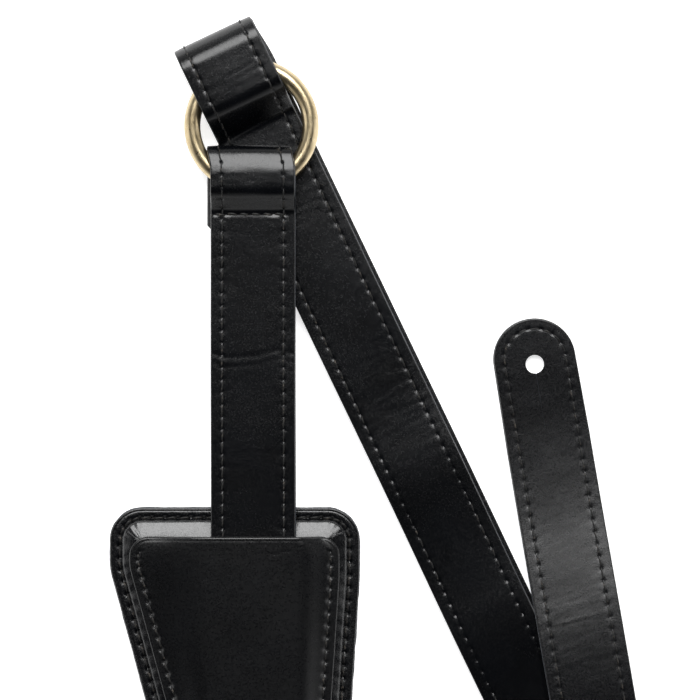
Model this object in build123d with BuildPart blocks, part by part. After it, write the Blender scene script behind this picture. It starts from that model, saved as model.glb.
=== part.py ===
from build123d import *
import math
import os

# Two-layer leather instrument strap with a sliding shoulder pad, laid out flat. The main
# strap runs along Y through the pad's tunnel and loops round a brass ring. The adjusting
# strap hangs doubled in the ring and folds back on itself into a button-hole tail.
# Millimetres, +Z up, origin on the floor under the middle of the pad, on the strap's axis.

# ---- leather and thread ----
strap_width = 30.0
layer = 1.3                    # one leather layer; a strap is a face layer on a lining
thread = 0.7                   # width of a sewn line
thread_depth = 0.35            # threads lie in grooves, flush with the leather
groove = 0.8
seam_inset = 4.1               # seam line to the strap's edge
float_gap = 0.3                # between pieces that move on each other
touch_gap = 0.1                # between two runs of one strap that lie together
hair = 0.001                   # straight left between two bends that meet

# ---- ring ----
ring_wire = 5.8
ring_bore = 36.2
ring_x = -0.5

# ---- rounded button-hole ends ----
end_length = 45.0              # flat stretch at each end
end_step = 0.4                 # the rounded end is this much narrower on each side
end_overlap = 0.4              # the tail's flat end reaches this far past the skewed end of its slope
hole_radius = 3.3
hole_to_tip = 16.4
slit_length = 20.0
slit_width = 0.35
spare_holes = 3                # further adjusting holes along the lower half
spare_pitch = 45.0

# ---- adjusting strap ----
run_angle = 25.55              # lean of the doubled run from the Y axis, degrees
run_offset = 1.45              # ring's centre to the run's centre line
top_fold_reach = 35.9          # ring's centre to the outside of the top fold
run_reach = 305.5              # ring's centre to the outside of the bottom fold
lower_end_past_fold = 15.0
tail_angle = 9.56
tail_length = 209.4            # bottom fold to the tail's tip
tail_support = 112.0           # bottom fold to where the tail leaves the run's edge
tail_landing = 155.0           # bottom fold to where the tail meets the floor
bottom_fold_radius = 3.3
fold_overlap = 5.0             # the fold's own stretch starts this far up the run
ring_step_slope = 70.0         # the strap's step up through the ring
ring_step_margin = 0.1         # step's upper corner to the ring's inner side, at the strap's edge

# ---- main strap ----
loop_reach = -6.9              # ring's centre to the outside of the loop
loop_tail_end = -37.8          # ring's centre to the end of the turned-under tail
loop_tail_chamfer = 2.5
loop_slope = 60.0
loop_slope_margin = 0.3        # the slope starts this much past where it would touch the ring
loop_seam = -29.7
bend_radius = 3.0
drape_radius = 60.0
front_drop = 45.0              # length over which the front end comes down to the floor
front_length = 224.0           # pad's lower end to the front end's tip

# ---- pad: each side is straight down from the top, then slopes in, then straight again ----
pad_length = 240.0
pad_to_ring = 136.0
pad_corner = 11.5
pad_left_wide = 51.1           # strap's axis to the pad's left edge, at its top
pad_left_narrow = 31.0         # and at its lower end
pad_left_slope = (21.4, 95.4)  # the slope's start and end, below the pad's top edge
pad_right_wide = 37.8
pad_right_narrow = 34.6
pad_right_slope = (25.0, 74.0)
pad_shoulder_radius = 25.0
pad_waist_radius = 170.0
pad_base_thick = 2.0
pad_top_thick = 1.5
pad_seam = 3.5
foam_inset = 7.0
crown_radius = 4.0
cover_thick = 1.6
cover_inset = 7.0
cover_end_inset = 10.0
cover_corner = 7.0
cover_seam = 10.3
tunnel_side_gap = 1.0
pad_travel_down = 60.0

# ---- levels from the floor up ----
run_low = layer                                      # lower half, between its two layers
run_high = run_low + 2 * layer + 4 * touch_gap       # upper half
loop_low = run_high + 2 * layer + float_gap          # main strap's turned-under tail
strap_level = loop_low + 2 * layer + touch_gap       # main strap
ring_level = loop_low + layer + float_gap + ring_wire / 2
over_ring = ring_level + ring_wire / 2 + float_gap + layer
tail_level = run_high + 2 * bottom_fold_radius
pad_top_level = strap_level - layer - float_gap
foam_thick = pad_top_level - pad_top_thick - pad_base_thick
tunnel_top = strap_level + layer + float_gap
tunnel_half = strap_width / 2 + tunnel_side_gap

# ---- places along the straps, from the ring's centre ----
ring_radius = (ring_bore + ring_wire) / 2
ring_y = pad_length / 2 + pad_to_ring
seam_side = strap_width / 2 - seam_inset
lower_tip = -run_reach - lower_end_past_fold
lower_flat = end_length + spare_holes * spare_pitch
front_tip = -pad_to_ring - pad_length - front_length
front_crest = -pad_to_ring - pad_length - pad_travel_down - drape_radius / 4

# ---- planes: x runs along the strap, y is up, the normal lies across the strap ----
up = Vector(0, 0, 1)
run_way = Vector(0, 1, 0).rotate(Axis.Z, run_angle)
tail_way = Vector(0, 1, 0).rotate(Axis.Z, tail_angle)
run_start = Vector(ring_x, ring_y, 0) + run_way.cross(up) * run_offset
fold_point = run_start - run_way * run_reach
main_plane = Plane((0, ring_y, 0), x_dir=(0, 1, 0), z_dir=(1, 0, 0))
run_plane = Plane(run_start, x_dir=run_way, z_dir=run_way.cross(up))
tail_plane = Plane(fold_point, x_dir=tail_way, z_dir=tail_way.cross(up))

# The bottom fold's crease is square to the line half way between run and tail.
fold_skew = (run_angle - tail_angle) / 2
fold_across = run_way.cross(up).rotate(Axis.Z, -fold_skew)
tail_flat = end_length + strap_width / 2 * math.tan(math.radians(fold_skew)) + end_overlap

# Plan planes of the rounded ends: origin at the tip, x pointing out of the tip.
front_end = Plane((0, ring_y + front_tip, 0), x_dir=(0, -1, 0), z_dir=(0, 0, 1))
lower_end = Plane(run_start + run_way * lower_tip, x_dir=run_way * -1, z_dir=(0, 0, 1))
tail_end = Plane(fold_point + tail_way * tail_length, x_dir=tail_way, z_dir=(0, 0, 1))


def slope_run(degrees, height):
    """Ground covered by a slope of this many degrees and this height."""
    return height / math.tan(math.radians(degrees))


def main_route():
    """Corners and bends of the main strap: turned-under tail, loop, slope off the ring, front."""
    fold_radius = (over_ring - loop_low) / 2 - hair
    fold_end = loop_reach - layer
    ring_clearance = ring_wire / 2 + float_gap + layer
    slope_top = -ring_radius - ring_clearance * math.tan(math.radians(loop_slope / 2)) - loop_slope_margin
    slope_foot = slope_top - slope_run(loop_slope, over_ring - strap_level)
    corners = [
        (loop_tail_end, loop_low),
        (fold_end, loop_low),
        (fold_end, over_ring),
        (slope_top, over_ring),
        (slope_foot, strap_level),
        (front_crest, strap_level),
        (front_crest - front_drop, layer),
        (front_tip + end_length, layer),
    ]
    return corners, [fold_radius, fold_radius, bend_radius, bend_radius, drape_radius, drape_radius]


def run_route():
    """Corners and bends of the doubled run: lower half, top fold, step through the ring, upper half."""
    fold_radius = (over_ring - run_low) / 2 - hair
    fold_end = top_fold_reach - layer
    strap_edge = strap_width / 2 + run_offset
    step_top = math.sqrt((ring_bore / 2) ** 2 - strap_edge ** 2) + ring_step_margin
    step_foot = step_top - slope_run(ring_step_slope, over_ring - run_high)
    corners = [
        (lower_tip + lower_flat, run_low),
        (fold_end, run_low),
        (fold_end, over_ring),
        (step_top, over_ring),
        (step_foot, run_high),
        (end_length - run_reach, run_high),
    ]
    return corners, [fold_radius, fold_radius, bend_radius, bend_radius]


def fold_in_route():
    """The run's last stretch, half way round the bottom fold."""
    outside = layer - run_reach
    corners = [
        (end_length + fold_overlap - run_reach, run_high),
        (outside, run_high),
        (outside, run_high + bottom_fold_radius),
    ]
    return corners, [bottom_fold_radius - hair]


def fold_out_route():
    """From half way round the bottom fold, along the tail to its flat end."""
    corners = [
        (layer, run_high + bottom_fold_radius),
        (layer, tail_level),
        (3 * tail_level, tail_level),
        (tail_support, run_high + 2 * layer + 6 * touch_gap),
        (tail_landing, layer),
        (tail_length - end_length, layer),
    ]
    return corners, [bottom_fold_radius - hair, drape_radius, drape_radius, drape_radius]


def beside(route, distance):
    """A route moved sideways to its right by distance, its bends kept parallel."""
    corners, radii = route
    points = [Vector(*corner) for corner in corners]
    ways = [(b - a).normalized() for a, b in zip(points, points[1:])]
    rights = [Vector(way.Y, -way.X) for way in ways]
    moved = [points[0] + rights[0] * distance]
    bends = []
    for corner, radius, before, after, way in zip(points[1:], radii, rights, rights[1:], ways[1:]):
        moved.append(corner + (before + after) * (distance / (1 + before.dot(after))))
        turns_left = before.dot(way) < 0
        bends.append(radius + distance if turns_left else radius - distance)
    moved.append(points[-1] + rights[-1] * distance)
    return moved, bends


def stretch(plane, route, near, far, centre, width, across, mode):
    """A length of strap: the band from near to far beside its middle line, drawn across it.

    Distances count from the middle line towards the face; those in the lining are negative.
    """
    skew = 1 / abs(plane.z_dir.dot(across))
    place = Plane(plane.origin + across * centre * skew, x_dir=plane.x_dir, z_dir=plane.z_dir)
    with BuildSketch(place) as profile:
        with BuildLine():
            near_points, near_bends = beside(route, near)
            far_points, far_bends = beside(route, far)
            near_side = FilletPolyline(*near_points, radius=near_bends)
            far_side = FilletPolyline(*far_points, radius=far_bends)
            Line(near_side @ 0, far_side @ 0)
            Line(near_side @ 1, far_side @ 1)
        make_face()
    extrude(profile.sketch, amount=width / 2 * skew, dir=across, both=True, mode=mode)


def rounded_end(plane, low, high, flat, holes):
    """A strap's flat end: straight sides, round tip, and a button hole with its slit per pitch."""
    radius = strap_width / 2 - end_step
    with BuildSketch(plane.offset(low)) as outline:
        with Locations((-radius, 0)):
            Circle(radius)
            Rectangle(flat - radius, strap_width, align=(Align.MAX, Align.CENTER))
        with Locations(*[(-hole_to_tip - i * spare_pitch, 0) for i in range(holes)]):
            Circle(hole_radius, mode=Mode.SUBTRACT)
            Rectangle(
                hole_radius + slit_length,
                slit_width,
                align=(Align.MAX, Align.CENTER),
                mode=Mode.SUBTRACT,
            )
    extrude(outline.sketch, amount=high - low, dir=up)


def end_seam(plane, low, width, flat, mode):
    """The seam's way round a strap's end: both sides joined by a half circle."""
    centre = strap_width / 2 - end_step
    with BuildSketch(plane.offset(low)) as line:
        with Locations((-centre, 0)):
            for half, step in ((width / 2, Mode.ADD), (-width / 2, Mode.SUBTRACT)):
                Circle(seam_side + half, mode=step)
                Rectangle(flat - centre, 2 * (seam_side + half), align=(Align.MAX, Align.CENTER), mode=step)
    extrude(line.sketch, amount=thread_depth, dir=up, mode=mode)


def main_strap_stretch(near, far, centre=0.0, width=strap_width, mode=Mode.ADD):
    """The main strap's whole length up to its front end."""
    stretch(main_plane, main_route(), near, far, centre, width, main_plane.z_dir, mode)


def adjusting_strap_stretch(near, far, centre=0.0, width=strap_width, mode=Mode.ADD):
    """The adjusting strap's whole length between its two ends."""
    stretch(run_plane, run_route(), near, far, centre, width, run_plane.z_dir, mode)
    stretch(run_plane, fold_in_route(), near, far, centre, width, fold_across, mode)
    stretch(tail_plane, fold_out_route(), near, far, centre, width, fold_across, mode)


def clip_turned_under_corners():
    """The turned-under tail's two corners are clipped."""
    end = ring_y + loop_tail_end
    corners = edges().filter_by(Axis.Z).filter_by_position(Axis.Y, end - hair, end + hair)
    chamfer(corners, loop_tail_chamfer)


def main_strap_seams(near, far, low, width, mode=Mode.ADD):
    """Both side seams of the main strap, joined round its front end."""
    for side in (-seam_side, seam_side):
        main_strap_stretch(near, far, side, width, mode)
    end_seam(front_end, low, width, end_length, mode)


def adjusting_strap_seams(near, far, low, width, mode=Mode.ADD):
    """Both side seams of the adjusting strap, joined round both ends."""
    for side in (-seam_side, seam_side):
        adjusting_strap_stretch(near, far, side, width, mode)
    end_seam(tail_end, low, width, tail_flat, mode)
    end_seam(lower_end, low, width, lower_flat, mode)


def loop_seam_line(low, width, mode=Mode.ADD):
    """The seam across the strap that closes the ring's loop."""
    with BuildSketch(Plane.XY.offset(low)) as line:
        with Locations((0, ring_y + loop_seam)):
            Rectangle(2 * (seam_side - thread), width)
    extrude(line.sketch, amount=thread_depth, dir=up, mode=mode)


def pad_side(wide, narrow, slope, trim):
    """One long side of the pad, stopping short of both ends by trim."""
    top = pad_length / 2
    return FilletPolyline(
        (wide, top - trim),
        (wide, top - slope[0]),
        (narrow, top - slope[1]),
        (narrow, trim - top),
        radius=[pad_shoulder_radius, pad_waist_radius],
    )


def pad_shape(inset, mode=Mode.ADD, trim=0.0, corner=pad_corner):
    """The pad's outline drawn in all round by inset, once its ends are trimmed and rounded."""
    with BuildSketch(mode=Mode.PRIVATE) as outline:
        with BuildLine():
            left = pad_side(-pad_left_wide, -pad_left_narrow, pad_left_slope, trim)
            right = pad_side(pad_right_wide, pad_right_narrow, pad_right_slope, trim)
            Line(left @ 0, right @ 0)
            Line(left @ 1, right @ 1)
        make_face()
        corners = outline.vertices().group_by(Axis.Y)
        fillet(corners[0] + corners[-1], corner)
        if inset > 0:
            offset(amount=-inset)
    add(outline.sketch, mode=mode)


def pad_edge_line(low, width, mode=Mode.ADD):
    """The seam all round the pad's edge."""
    with BuildSketch(Plane.XY.offset(low)) as line:
        pad_shape(pad_seam - width / 2)
        pad_shape(pad_seam + width / 2, Mode.SUBTRACT)
    extrude(line.sketch, amount=thread_depth, dir=up, mode=mode)


def cover_seam_line(low, width, sides=(-1, 1), mode=Mode.ADD):
    """The seams that hold the cover's long sides; its ends stay open for the strap."""
    seam_end = cover_end_inset + pad_seam
    reach = pad_length / 2
    with BuildSketch(Plane.XY.offset(low)) as line:
        pad_shape(cover_seam - width / 2)
        pad_shape(cover_seam + width / 2, Mode.SUBTRACT)
        with Locations(*[(side * reach, 0) for side in sides]):
            Rectangle(2 * reach - 2 * tunnel_half, pad_length - 2 * seam_end, mode=Mode.INTERSECT)
    extrude(line.sketch, amount=thread_depth, dir=up, mode=mode)


def crowned_block(inset, low, high, radius):
    """A low block of the pad's outline with a rounded upper edge."""
    with BuildSketch(Plane.XY.offset(low)) as outline:
        pad_shape(inset)
    extrude(outline.sketch, amount=high - low, dir=up)
    fillet(faces().sort_by(Axis.Z)[-1].edges(), radius)


# ---- brass ring ----
with BuildPart() as ring:
    with BuildSketch(Plane((ring_x, ring_y, ring_level), x_dir=(1, 0, 0), z_dir=(0, -1, 0))):
        with Locations((ring_radius, 0)):
            Circle(ring_wire / 2)
    revolve(axis=Axis((ring_x, ring_y, 0), (0, 0, 1)))

# ---- main strap: face and lining, glued and sewn all round ----
with BuildPart() as main_strap_face:
    main_strap_stretch(0, layer)
    clip_turned_under_corners()
    rounded_end(front_end, layer, 2 * layer, end_length, 1)
    main_strap_seams(layer - thread_depth, layer, 2 * layer - thread_depth, groove, Mode.SUBTRACT)
    loop_seam_line(strap_level + layer - thread_depth, groove, Mode.SUBTRACT)
    loop_seam_line(loop_low - layer, groove, Mode.SUBTRACT)

with BuildPart() as main_strap_lining:
    main_strap_stretch(-layer, 0)
    clip_turned_under_corners()
    rounded_end(front_end, 0, layer, end_length, 1)
    main_strap_seams(-layer, thread_depth - layer, 0, groove, Mode.SUBTRACT)

with BuildPart() as main_strap_needle_thread:
    main_strap_seams(layer - thread_depth, layer, 2 * layer - thread_depth, thread)

with BuildPart() as main_strap_bobbin_thread:
    main_strap_seams(-layer, thread_depth - layer, 0, thread)

with BuildPart() as loop_seam_needle_thread:
    loop_seam_line(strap_level + layer - thread_depth, thread)

with BuildPart() as loop_seam_bobbin_thread:
    loop_seam_line(loop_low - layer, thread)

# ---- adjusting strap: its face is down on the tail and on the lower half ----
with BuildPart() as adjusting_strap_face:
    adjusting_strap_stretch(0, layer)
    rounded_end(tail_end, 0, layer, tail_flat, 1)
    rounded_end(lower_end, 0, layer, lower_flat, 1 + spare_holes)
    adjusting_strap_seams(layer - thread_depth, layer, 0, groove, Mode.SUBTRACT)

with BuildPart() as adjusting_strap_lining:
    adjusting_strap_stretch(-layer, 0)
    rounded_end(tail_end, layer, 2 * layer, tail_flat, 1)
    rounded_end(lower_end, layer, 2 * layer, lower_flat, 1 + spare_holes)
    adjusting_strap_seams(-layer, thread_depth - layer, 2 * layer - thread_depth, groove, Mode.SUBTRACT)

with BuildPart() as adjusting_strap_needle_thread:
    adjusting_strap_seams(layer - thread_depth, layer, 0, thread)

with BuildPart() as adjusting_strap_bobbin_thread:
    adjusting_strap_seams(-layer, thread_depth - layer, 2 * layer - thread_depth, thread)

# ---- shoulder pad: base, foam, crowned top, and the cover that makes the strap's tunnel ----
with BuildPart() as pad_base:
    with BuildSketch():
        pad_shape(0)
    extrude(amount=pad_base_thick)
    pad_edge_line(0, groove, Mode.SUBTRACT)

with BuildPart() as pad_padding:
    foam_top = pad_base_thick + foam_thick
    crowned_block(foam_inset, pad_base_thick, foam_top, crown_radius - pad_top_thick)

with BuildPart() as pad_top:
    crowned_block(foam_inset - pad_top_thick, pad_base_thick, pad_top_level, crown_radius)
    with BuildSketch(Plane.XY.offset(pad_base_thick)):
        pad_shape(0)
    extrude(amount=pad_top_thick)
    add(pad_padding.part, mode=Mode.SUBTRACT)
    pad_edge_line(pad_base_thick + pad_top_thick - thread_depth, groove, Mode.SUBTRACT)
    cover_seam_line(pad_top_level - pad_top_thick, groove, mode=Mode.SUBTRACT)

with BuildPart() as tunnel_cover:
    foot = tunnel_half + tunnel_top - pad_top_level
    with BuildSketch(Plane.XZ.offset(-pad_length / 2)):
        with BuildLine():
            Polyline(
                (-pad_length, pad_top_level),
                (-foot, pad_top_level),
                (-tunnel_half, tunnel_top),
                (tunnel_half, tunnel_top),
                (foot, pad_top_level),
                (pad_length, pad_top_level),
            )
            offset(amount=cover_thick, side=Side.LEFT, kind=Kind.INTERSECTION)
        make_face()
    extrude(amount=pad_length)
    with BuildSketch():
        pad_shape(cover_inset, Mode.ADD, cover_end_inset - cover_inset, cover_corner + cover_inset)
    extrude(amount=tunnel_top + 2 * cover_thick, mode=Mode.INTERSECT)
    cover_seam_line(pad_top_level + cover_thick - thread_depth, groove, mode=Mode.SUBTRACT)

with BuildPart() as pad_edge_needle_thread:
    pad_edge_line(pad_base_thick + pad_top_thick - thread_depth, thread)

with BuildPart() as pad_edge_bobbin_thread:
    pad_edge_line(0, thread)

with BuildPart() as cover_left_needle_thread:
    cover_seam_line(pad_top_level + cover_thick - thread_depth, thread, sides=(-1,))

with BuildPart() as cover_right_needle_thread:
    cover_seam_line(pad_top_level + cover_thick - thread_depth, thread, sides=(1,))

with BuildPart() as cover_left_bobbin_thread:
    cover_seam_line(pad_top_level - pad_top_thick, thread, sides=(-1,))

with BuildPart() as cover_right_bobbin_thread:
    cover_seam_line(pad_top_level - pad_top_thick, thread, sides=(1,))

# ---- one STEP file per piece ----
pieces = {
    "ring": ring,
    "main_strap_face": main_strap_face,
    "main_strap_lining": main_strap_lining,
    "main_strap_needle_thread": main_strap_needle_thread,
    "main_strap_bobbin_thread": main_strap_bobbin_thread,
    "loop_seam_needle_thread": loop_seam_needle_thread,
    "loop_seam_bobbin_thread": loop_seam_bobbin_thread,
    "adjusting_strap_face": adjusting_strap_face,
    "adjusting_strap_lining": adjusting_strap_lining,
    "adjusting_strap_needle_thread": adjusting_strap_needle_thread,
    "adjusting_strap_bobbin_thread": adjusting_strap_bobbin_thread,
    "pad_base": pad_base,
    "pad_padding": pad_padding,
    "pad_top": pad_top,
    "tunnel_cover": tunnel_cover,
    "pad_edge_needle_thread": pad_edge_needle_thread,
    "pad_edge_bobbin_thread": pad_edge_bobbin_thread,
    "cover_left_needle_thread": cover_left_needle_thread,
    "cover_right_needle_thread": cover_right_needle_thread,
    "cover_left_bobbin_thread": cover_left_bobbin_thread,
    "cover_right_bobbin_thread": cover_right_bobbin_thread,
}
os.makedirs("parts", exist_ok=True)
for name, piece in pieces.items():
    piece.part.label = name
    export_step(piece.part, f"parts/{name}.step")
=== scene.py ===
import math

import bmesh
import bpy
import numpy as np
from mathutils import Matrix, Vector


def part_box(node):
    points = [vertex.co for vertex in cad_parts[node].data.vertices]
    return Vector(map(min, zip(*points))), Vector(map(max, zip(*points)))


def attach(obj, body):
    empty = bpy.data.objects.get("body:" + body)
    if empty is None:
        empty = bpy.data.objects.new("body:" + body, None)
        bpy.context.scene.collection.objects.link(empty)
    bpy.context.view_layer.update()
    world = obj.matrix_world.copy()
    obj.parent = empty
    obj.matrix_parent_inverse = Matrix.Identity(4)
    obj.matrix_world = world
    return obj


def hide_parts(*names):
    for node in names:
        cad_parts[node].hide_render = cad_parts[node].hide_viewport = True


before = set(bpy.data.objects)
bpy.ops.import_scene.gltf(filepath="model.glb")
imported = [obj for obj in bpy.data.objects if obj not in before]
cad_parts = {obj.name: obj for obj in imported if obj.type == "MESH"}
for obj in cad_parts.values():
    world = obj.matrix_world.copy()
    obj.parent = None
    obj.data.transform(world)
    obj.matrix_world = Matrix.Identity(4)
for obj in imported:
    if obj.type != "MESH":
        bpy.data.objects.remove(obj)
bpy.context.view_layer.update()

# ---- Floor, light and camera ----
# A white sweep under the laid-out strap, one wide soft light from beyond the ring, and a dim
# ceiling, so that flat black leather stays black and every bend towards the light shines.
MM = 0.001
view_centre = Vector((0.0345, 0.1764, 0.0))
view_span = 0.2503
view_height = 1.7

camera_data = bpy.data.cameras.new("camera")
camera_data.sensor_width = 36.0
camera_data.lens = 36.0 * view_height / view_span
camera = bpy.data.objects.new("camera", camera_data)
camera.location = (view_centre.x, view_centre.y, view_height)
bpy.context.collection.objects.link(camera)
bpy.context.scene.camera = camera
bpy.context.scene.view_settings.view_transform = "Standard"

floor_half = 4.0
floor_mesh = bpy.data.meshes.new("floor")
floor_mesh.from_pydata(
    [(x * floor_half, y * floor_half, -0.0001) for x, y in ((-1, -1), (1, -1), (1, 1), (-1, 1))],
    [],
    [(0, 1, 2, 3)],
)
floor = bpy.data.objects.new("floor", floor_mesh)
bpy.context.collection.objects.link(floor)
paper = bpy.data.materials.new("white_sweep")
paper.use_nodes = True
paper_shader = paper.node_tree.nodes["Principled BSDF"]
paper_shader.inputs["Base Color"].default_value = (0.92, 0.92, 0.92, 1)
paper_shader.inputs["Roughness"].default_value = 0.9
paper_shader.inputs["Specular IOR Level"].default_value = 0.1
paper_shader.inputs["Emission Color"].default_value = (1, 1, 1, 1)
paper_shader.inputs["Emission Strength"].default_value = 0.7
floor_mesh.materials.append(paper)


def soft_light(name, place, aim, size, power):
    """A rectangular softbox at place, pointing at aim."""
    data = bpy.data.lights.new(name, "AREA")
    data.shape = "RECTANGLE"
    data.size, data.size_y = size
    data.energy = power
    light = bpy.data.objects.new(name, data)
    light.location = place
    light.rotation_euler = (Vector(aim) - Vector(place)).to_track_quat("-Z", "Y").to_euler()
    bpy.context.collection.objects.link(light)


soft_light("key_softbox", (0.03, 1.2, 1.6), (0.03, 0.12, 0.0), (1.5, 1.15), 42)
soft_light("left_softbox", (-1.8, 0.1, 0.8), (0.0, 0.15, 0.0), (0.6, 1.4), 4)
soft_light("right_softbox", (1.8, 0.1, 0.8), (0.0, 0.15, 0.0), (0.6, 1.4), 4)

world = bpy.data.worlds.new("studio")
bpy.context.scene.world = world
world.use_nodes = True
sky = world.node_tree
sky.nodes.clear()
sky_out = sky.nodes.new("ShaderNodeOutputWorld")
sky_light = sky.nodes.new("ShaderNodeBackground")
sky_ramp = sky.nodes.new("ShaderNodeValToRGB")
sky_split = sky.nodes.new("ShaderNodeSeparateXYZ")
sky_way = sky.nodes.new("ShaderNodeTexCoord")
sky.links.new(sky_way.outputs["Generated"], sky_split.inputs[0])
sky.links.new(sky_split.outputs["Z"], sky_ramp.inputs[0])
sky.links.new(sky_ramp.outputs["Color"], sky_light.inputs["Color"])
sky.links.new(sky_light.outputs[0], sky_out.inputs["Surface"])
sky_ramp.color_ramp.elements[0].position = 0.12
sky_ramp.color_ramp.elements[0].color = (1, 1, 1, 1)
sky_ramp.color_ramp.elements[1].position = 0.62
sky_ramp.color_ramp.elements[1].color = (0.015, 0.015, 0.017, 1)
sky_light.inputs["Strength"].default_value = 0.8

# ---- Brass ring ----
# One closed ring of round brass wire, 5.8 mm thick, polished and lacquered. The straps are
# looped round it and sewn or folded, so it is never opened.
ring_low, ring_high = (np.array(corner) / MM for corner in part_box("ring"))
ring_centre = (ring_low + ring_high) / 2
ring_wire = ring_high[2] - ring_low[2]
ring_radius = (ring_high[0] - ring_low[0] - ring_wire) / 2


def new_material(name):
    """An empty node material; returns it with its tree and its shader."""
    made = bpy.data.materials.new(name)
    made.use_nodes = True
    return made, made.node_tree, made.node_tree.nodes["Principled BSDF"]


def noise_of(tree, scale, detail=3.0, kind="ShaderNodeTexNoise"):
    """A noise texture laid on the piece's own coordinates; scale is in waves per metre."""
    place = tree.nodes.new("ShaderNodeTexCoord")
    noise = tree.nodes.new(kind)
    noise.inputs["Scale"].default_value = scale
    if "Detail" in noise.inputs:
        noise.inputs["Detail"].default_value = detail
    tree.links.new(place.outputs["Object"], noise.inputs["Vector"])
    return noise


def ramp_of(tree, value, low, high, start=0.0, end=1.0):
    """Turns a texture's value into a colour or number between low and high."""
    ramp = tree.nodes.new("ShaderNodeValToRGB")
    ramp.color_ramp.elements[0].position = start
    ramp.color_ramp.elements[1].position = end
    ramp.color_ramp.elements[0].color = low if isinstance(low, tuple) else (low, low, low, 1)
    ramp.color_ramp.elements[1].color = high if isinstance(high, tuple) else (high, high, high, 1)
    tree.links.new(value, ramp.inputs[0])
    return ramp.outputs["Color"]


def bump_of(tree, height, depth, strength=1.0, under=None):
    """A bump of this depth in metres, on top of another bump if given."""
    bump = tree.nodes.new("ShaderNodeBump")
    bump.inputs["Strength"].default_value = strength
    bump.inputs["Distance"].default_value = depth
    tree.links.new(height, bump.inputs["Height"])
    if under is not None:
        tree.links.new(under, bump.inputs["Normal"])
    return bump.outputs["Normal"]


brass, tree, shader = new_material("polished_brass")
shader.inputs["Metallic"].default_value = 1.0
tone = noise_of(tree, 180.0)
tree.links.new(ramp_of(tree, tone.outputs[0], (0.50, 0.40, 0.24, 1), (0.60, 0.50, 0.32, 1), 0.35, 0.65),
               shader.inputs["Base Color"])
smear = noise_of(tree, 420.0, 4.0)
tree.links.new(ramp_of(tree, smear.outputs[0], 0.26, 0.38, 0.3, 0.75), shader.inputs["Roughness"])
tree.links.new(bump_of(tree, smear.outputs[0], 0.00006, 0.35), shader.inputs["Normal"])

wire_steps, round_steps = 32, 220
ring_mesh = bpy.data.meshes.new("brass_ring")
verts, quads = [], []
for i in range(round_steps):
    turn = 2 * math.pi * i / round_steps
    for j in range(wire_steps):
        lean = 2 * math.pi * j / wire_steps
        reach = ring_radius + ring_wire / 2 * math.cos(lean)
        verts.append((
            (ring_centre[0] + reach * math.cos(turn)) * MM,
            (ring_centre[1] + reach * math.sin(turn)) * MM,
            (ring_centre[2] + ring_wire / 2 * math.sin(lean)) * MM,
        ))
        a, b = i * wire_steps, (i + 1) % round_steps * wire_steps
        k = (j + 1) % wire_steps
        quads.append((a + j, b + j, b + k, a + k))
ring_mesh.from_pydata(verts, [], quads)
ring_mesh.materials.append(brass)
ring_mesh.shade_smooth()
brass_ring = bpy.data.objects.new("brass_ring", ring_mesh)
bpy.context.collection.objects.link(brass_ring)
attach(brass_ring, "ring")
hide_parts("ring")

# ---- Leather, edge dye and thread ----
# Black bridle leather with a fine pebbled grain and a waxed, slightly cool shine; its cut
# edges are dyed and rubbed. It is sewn with waxed black thread that has gone pale with wear.
def leather_of(name, shade, rough_low, rough_high, grain_depth):
    """Dyed leather: shade is its mean colour, grain_depth the grain's height in metres."""
    made, tree, shader = new_material(name)
    patch = noise_of(tree, 70.0, 3.0)
    dark = tuple(0.75 * part for part in shade) + (1,)
    pale = tuple(1.3 * part for part in shade) + (1,)
    tree.links.new(ramp_of(tree, patch.outputs[0], dark, pale, 0.35, 0.65), shader.inputs["Base Color"])
    fine = noise_of(tree, 1500.0, 4.0)
    handled = noise_of(tree, 16.0, 2.0)
    wear = tree.nodes.new("ShaderNodeMath")
    wear.operation = "ADD"
    tree.links.new(ramp_of(tree, fine.outputs[0], rough_low, rough_high, 0.35, 0.65), wear.inputs[0])
    tree.links.new(ramp_of(tree, handled.outputs[0], 0.0, 0.04, 0.4, 0.7), wear.inputs[1])
    tree.links.new(wear.outputs[0], shader.inputs["Roughness"])
    pores = noise_of(tree, 2600.0, kind="ShaderNodeTexVoronoi")
    waves = noise_of(tree, 420.0, 3.0)
    under = bump_of(tree, waves.outputs[0], grain_depth * 2.5, 0.5)
    under = bump_of(tree, pores.outputs["Distance"], grain_depth, 0.6, under)
    tree.links.new(bump_of(tree, fine.outputs[0], grain_depth, 0.5, under), shader.inputs["Normal"])
    shader.inputs["IOR"].default_value = 1.5
    return made


strap_leather = leather_of("strap_leather", (0.0014, 0.0017, 0.0024), 0.19, 0.27, 0.000014)
lining_leather = leather_of("lining_leather", (0.006, 0.006, 0.0065), 0.42, 0.6, 0.00003)
cover_leather = leather_of("cover_leather", (0.0013, 0.0015, 0.002), 0.24, 0.32, 0.00001)
tail_leather = leather_of("tail_leather", (0.0018, 0.002, 0.0027), 0.22, 0.3, 0.00002)
pad_leather = leather_of("pad_leather", (0.0016, 0.0019, 0.0026), 0.2, 0.28, 0.00003)
pad_leather.node_tree.nodes["Principled BSDF"].inputs["Specular IOR Level"].default_value = 0.75
cut_edge = leather_of("cut_edge", (0.03, 0.034, 0.042), 0.4, 0.6, 0.00005)

waxed_thread, tree, shader = new_material("waxed_thread")
wear = noise_of(tree, 900.0, 4.0)
tree.links.new(
    ramp_of(tree, wear.outputs[0], (0.003, 0.0028, 0.0026, 1), (0.12, 0.10, 0.08, 1), 0.55, 0.8),
    shader.inputs["Base Color"],
)
tree.links.new(ramp_of(tree, wear.outputs[0], 0.45, 0.7), shader.inputs["Roughness"])
strands = noise_of(tree, 5200.0, 2.0)
tree.links.new(bump_of(tree, strands.outputs[0], 0.00008, 0.8), shader.inputs["Normal"])

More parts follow.
